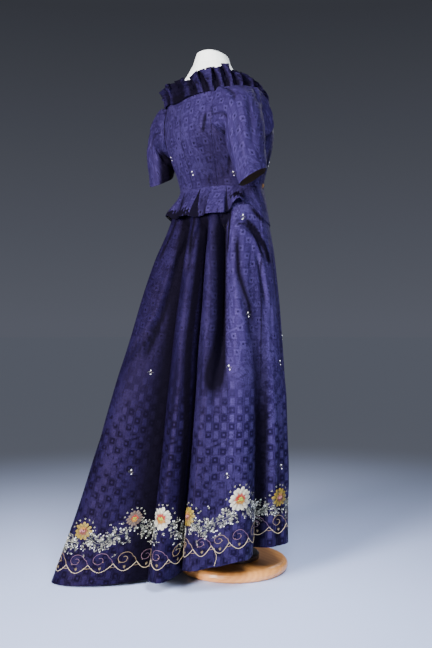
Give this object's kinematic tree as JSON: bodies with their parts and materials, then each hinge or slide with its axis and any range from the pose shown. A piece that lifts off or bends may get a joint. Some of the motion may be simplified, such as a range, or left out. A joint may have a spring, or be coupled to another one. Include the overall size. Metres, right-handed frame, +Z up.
{
  "type": "embroidered gown on a dress form",
  "caption": "Damask silk gown with embroidered hem, pleated train, fluted basque, short sleeves and neck ruffle, on a limbless dress form with a round wooden stand.",
  "frame": {"origin": "centre of the wooden stand's flat underside, on the floor", "axes": "+Z up, -Y towards the front of the gown, +Y towards the centre back and the train, +X towards the wearer's left"},
  "size_m": [0.4607, 0.6176, 1.4167],
  "materials": {
    "silk": "satin",
    "calico": "matte",
    "beech": "gloss",
    "dark_wood": "satin",
    "steel": "satin"
  },
  "bodies": {
    "root": {"skirt_back_left": "silk", "skirt_train": "silk", "skirt_centre_back": "silk", "skirt_back_right": "silk", "skirt_side_right": "silk", "skirt_front": "silk", "skirt_side_left": "silk", "bodice_back": "silk", "bodice_side_right": "silk", "bodice_side_left": "silk", "bodice_front_right": "silk", "bodice_front_left": "silk", "peplum": "silk", "sleeve_right": "silk", "sleeve_left": "silk", "neck_band": "silk", "neck_ruffle": "silk", "form_torso": "calico", "stand_base": "beech", "stand_hub": "dark_wood", "stand_pole": "steel"}
  },
  "joints": []
}
